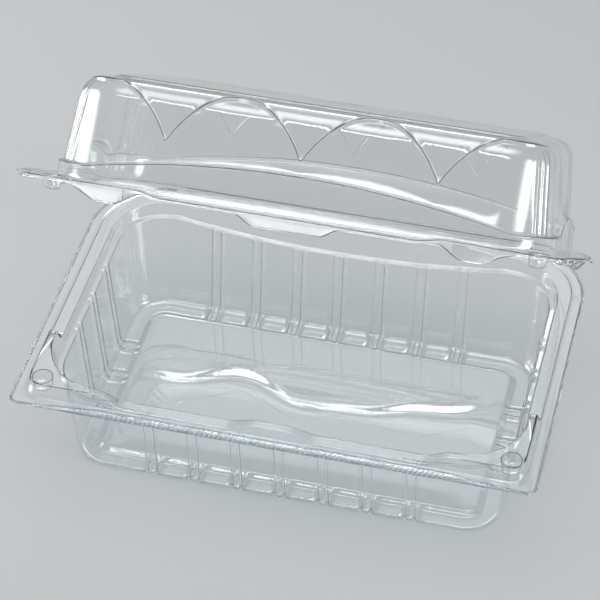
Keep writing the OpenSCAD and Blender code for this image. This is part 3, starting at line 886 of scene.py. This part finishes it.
        def rope(p):
            return lid.rope * (1 if p.index % 2 else -1) if p.side in ("front", "back") else 0.0
        start = [self.band_top(p) + sheet for p in dome]
        foot = [self.drape(p) + lid.drape_depth for p in dome]
        depth = [lid.drape_depth * (lid.end_share + (1 - lid.end_share) * smooth(abs(p.out_y))) for p in dome]
        bead = lid.drape_bead / lid.drape_depth
        rows = [
            Row([self.on_flange(p, self.edge_bottom(p) + lid.edge_turn, self.flare(p)) for p in edge]),
            Row([self.on_flange(p, self.edge_bottom(p) + lid.edge_turn) for p in edge], EDGE_BEND),
            Row([self.on_flange(p, self.lift(p) + sheet) for p in edge], ROUND, 5),
            Row([placed(p, 0, self.flange + self.lift(p) + sheet) for p in band], BAND_BEND, 2),
            Row([placed(p, 0, self.flange + self.band_top(p) - BEAD_FOOT) for p in band], SOFT),
            Row([placed(p, lid.band_bead + rope(p), self.flange + self.band_top(p) - BEAD_TOP + rope(p))
                 for p in band], SOFT),
            Row([self.dome(p, z) for p, z in zip(dome, start)], ROUND)]
        for share in WALL_SHARES:
            rows.append(Row([self.dome(p, z + share * (self.drape(p) - z))
                             for p, z in zip(dome, start)]))
        rows += [
            Row([self.dome(p, self.drape(p)) for p in dome], DRAPE_FOOT_BEND),
            Row([self.dome(p, self.drape(p) + lid.drape_depth / 2, out * (1 + bead))
                 for p, out in zip(dome, depth)], DRAPE_BEND),
            Row([self.dome(p, z + lid.drape_bead, out) for p, z, out in zip(dome, foot, depth)], CRISP)]
        for share in DRAPE_SHARES:
            rows.append(Row([
                self.dome(p, z + lid.drape_bead + share * (self.top_edge - z - lid.drape_bead), out)
                for p, z, out in zip(dome, foot, depth)]))
        top = self.flange + lid.height

        def panel(slope, z):
            points = []
            for p in dome:
                inset = lid.panel_side * p.out_y ** 2 + lid.panel_end * p.out_x ** 2 + slope
                q = self.dome(p, self.top_edge)
                points.append(Vector((q.x - p.out_x * inset, q.y - p.out_y * inset, z)))
            return points
        edge_of_panel = panel(lid.panel_slope, top)
        rows += [Row(panel(0.0, top - lid.panel_rise), CRISP), Row(edge_of_panel, SOFT)]
        for share in TOP_SHARES:
            crown = lid.top_crown * smooth((1 - share) / CROWN_SPAN)
            rows.append(Row([Vector((q.x * share, q.y * share, top - crown)) for q in edge_of_panel]))
        return rounded(rows)


class PACK_OT_form_lid(bpy.types.Operator):
    """Form the domed lid with its arched band, draped edge, tabs, ears and snap studs"""
    bl_idname = "food_pack.form_lid"
    bl_label = "Form Lid"

    def execute(self, context):
        form, snap = LidForm(context.scene), context.scene.pack_snap
        bm = formed_shell(form.rows())
        root = form.flange + form.tray.corner_rise + form.lid.closing_gap + form.tray.floor_level
        tip = root - form.tray.floor_level - snap.length
        rings = (cup_rings(snap.radius, root, STUD_ROOT)
                 + [(snap.tip_radius - form.sheet.thickness, tip + STUD_ROUND)]
                 + cup_rings(snap.tip_radius, tip, STUD_TIP))
        press_snaps(bm, snap, rings)
        bmesh.ops.transform(bm, matrix=opened, verts=bm.verts)
        piece = add_piece(bm, "lid_shell", "lid_body", sheet_material(), form.sheet.thickness,
                          opened.to_3x3() @ Vector((0, 0, 1)))
        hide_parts("lid")
        return {"FINISHED"}


class PACK_OT_cut_lid_edge(bpy.types.Operator):
    """Lay the toothed edge along the sides and ears of the lid"""
    bl_idname = "food_pack.cut_lid_edge"
    bl_label = "Cut Lid Edge"

    tooth: length("Tooth", 0.8, "How far a tooth stands out")
    pitch: length("Tooth pitch", 2.0, "Distance between teeth")

    def execute(self, context):
        form = LidForm(context.scene)

        def level(out, up, toothed):
            def corner(w, i):
                return w[0] + w[1] * (out + (toothed if i % 2 else 0.0)) + Vector((0, 0, up))
            return corner
        ring = form.edge_ring(around(even_side(count=1), even_side(count=160), even_turn(count=30)))
        thickness = form.sheet.thickness
        for side_name, corners, name in (("right", (0, 1), "lid_edge_right"),
                                         ("left", (2, 3), "lid_edge_left")):
            line = [(form.on_flange(p, form.lift(p) - form.lid.edge_drop + form.lid.edge_turn,
                                    form.flare(p)), Vector((p.out_x, p.out_y, 0)))
                    for p in ring if (p.side == side_name or p.side in corners)
                    and hinge_point.y - p.y > 2 * form.lid.hinge_clear]
            walk = even_walk(line, self.pitch / 2)
            bm = bar(walk, [level(JOINT, -thickness, 0.0), level(JOINT, 0.0, 0.0),
                            level(TOOTH_FOOT, 0.0, self.tooth), level(TOOTH_FOOT, -thickness, self.tooth)])
            bmesh.ops.transform(bm, matrix=opened, verts=bm.verts)
            add_piece(bm, name, "lid_body", knurl_material(), faceted=True)
        return {"FINISHED"}


# Stage

FLOOR_HALF, FLOOR_GAP = 8.0, 0.2 * MM
FADE_SHARE = 0.4
FILM_WIDTH = 36.0
LAMP_AIM = Vector((0, 0, 0.06))
# Each lamp's place and size in metres; its power is in the stage settings
LAMPS = (("top_lamp", (0.0, 0.1, 1.3), (1.5, 1.0)),
         ("strip_lamp", (-0.1, -0.5, 1.2), (1.2, 0.12)),
         ("left_lamp", (-0.85, -0.03, 0.36), (0.55, 0.6)),
         ("right_lamp", (0.85, -0.25, 0.42), (0.4, 0.9)),
         ("front_lamp", (-0.35, -1.0, 1.1), (0.6, 0.4)),
         ("back_panel", (-0.2, 1.15, 1.2), (1.4, 0.6)),
         ("back_strip", (-0.25, 1.14, 0.8), (1.2, 0.24)))


class PACK_OT_set_stage(bpy.types.Operator):
    """Set the pale floor, the soft lamps and the camera"""
    bl_idname = "food_pack.set_stage"
    bl_label = "Set Stage"

    azimuth: number("Azimuth", 13.91, "Turn of the camera about the pack")
    elevation: number("Elevation", 42.93, "Height angle of the camera")
    distance: length("Distance", 1073.8, "Distance of the camera from the pack")
    across: length("Across", -4.0, "Place of the view, to the right")
    above: length("Above", 11.2, "Place of the view, up from the flange")
    lens: number("Lens", 152.7, "Lens in millimetres on a 36 mm film")

    def execute(self, context):
        scene, stage = context.scene, context.scene.pack_stage
        scene.view_settings.view_transform = "Standard"
        self.add_floor(stage)
        self.add_lamps(scene, stage)
        self.add_camera(scene)
        return {"FINISHED"}

    def add_floor(self, stage):
        paint = bpy.data.materials.new("Pale floor")
        paint.use_nodes = True
        set_inputs(paint.node_tree.nodes["Principled BSDF"],
                   {"Base Color": (*stage.floor_colour, 1.0), "Roughness": 0.9, "Specular IOR Level": 0.1})
        bm = bmesh.new()
        bmesh.ops.create_grid(bm, x_segments=1, y_segments=1, size=FLOOR_HALF)
        floor = meshed(bm, "floor", paint)
        floor.location.z = -FLOOR_GAP

    def add_lamps(self, scene, stage):
        world = bpy.data.worlds.new("Studio")
        scene.world = world
        world.use_nodes = True
        set_inputs(world.node_tree.nodes["Background"],
                   {"Color": (0.92, 0.96, 1.0, 1.0), "Strength": stage.sky})
        for name, place, size in LAMPS:
            light = bpy.data.lights.new(name, "AREA")
            light.shape = "RECTANGLE"
            light.size, light.size_y = size
            light.energy = getattr(stage, name)
            self.soften(light)
            lamp = linked(name, light)
            lamp.location = place
            lamp.rotation_euler = (Vector(place) - LAMP_AIM).to_track_quat("Z", "Y").to_euler()

    def soften(self, light):
        """Lets the light of a lamp fade towards its edges, as a softbox does."""
        light.use_nodes = True
        tree, nodes = light.node_tree, light.node_tree.nodes
        place, parts = nodes.new("ShaderNodeNewGeometry"), nodes.new("ShaderNodeSeparateXYZ")
        both = nodes.new("ShaderNodeMath")
        both.operation = "MULTIPLY"
        wire(tree, (place, "Parametric", parts, "Vector"), (both, "Value", nodes["Emission"], "Strength"))
        for i, axis in enumerate("XY"):
            fade, curve = nodes.new("ShaderNodeMath"), nodes.new("ShaderNodeMapRange")
            fade.operation = "PINGPONG"
            curve.interpolation_type = "SMOOTHSTEP"
            set_inputs(fade, {1: 0.5})
            set_inputs(curve, {"From Max": FADE_SHARE})
            wire(tree, (parts, axis, fade, 0), (fade, "Value", curve, "Value"), (curve, "Result", both, i))

    def add_camera(self, scene):
        turn, height = math.radians(self.azimuth), math.radians(self.elevation)
        level = math.cos(height)
        back = Vector((math.sin(turn) * level, -math.cos(turn) * level, math.sin(height)))
        right = Vector((math.cos(turn), math.sin(turn), 0))
        up = back.cross(right)
        flange = Vector((0, 0, flange_level(scene.pack_tray)))
        view = bpy.data.cameras.new("camera")
        view.lens, view.sensor_width = self.lens, FILM_WIDTH
        camera = linked("camera", view)
        turned = Matrix((right, up, back)).transposed().to_4x4()
        camera.matrix_world = Matrix.Translation(
            flange + right * self.across + up * self.above + back * self.distance) @ turned
        scene.camera = camera


class PACK_PT_panel(bpy.types.Panel):
    bl_idname = "PACK_PT_panel"
    bl_label = "Food Pack"
    bl_space_type = "VIEW_3D"
    bl_region_type = "UI"
    bl_category = "Food Pack"

    def draw(self, context):
        for operator in PIECES:
            self.layout.operator(operator.bl_idname)
        for settings in SETTINGS:
            box = self.layout.box()
            group = getattr(context.scene, settings)
            for name in group.bl_rna.properties.keys():
                if name not in ("rna_type", "name"):
                    box.prop(group, name)


PIECES = (PACK_OT_set_stage, PACK_OT_form_tray, PACK_OT_cut_tray_edge, PACK_OT_roll_hinge,
          PACK_OT_form_lid, PACK_OT_cut_lid_edge)
SETTINGS = {"pack_sheet": SheetSettings, "pack_tray": TraySettings, "pack_lid": LidSettings,
            "pack_snap": SnapSettings, "pack_stage": StageSettings}
CLASSES = (*SETTINGS.values(), *PIECES, PACK_PT_panel)


def register():
    for cls in CLASSES:
        bpy.utils.register_class(cls)
    for name, group in SETTINGS.items():
        setattr(bpy.types.Scene, name, PointerProperty(type=group))


def unregister():
    for name in SETTINGS:
        delattr(bpy.types.Scene, name)
    for cls in reversed(CLASSES):
        bpy.utils.unregister_class(cls)


def main():
    register()
    bpy.ops.food_pack.set_stage()
    bpy.ops.food_pack.form_tray()
    bpy.ops.food_pack.cut_tray_edge()
    bpy.ops.food_pack.roll_hinge()
    bpy.ops.food_pack.form_lid()
    bpy.ops.food_pack.cut_lid_edge()


if __name__ == "__main__":
    main()
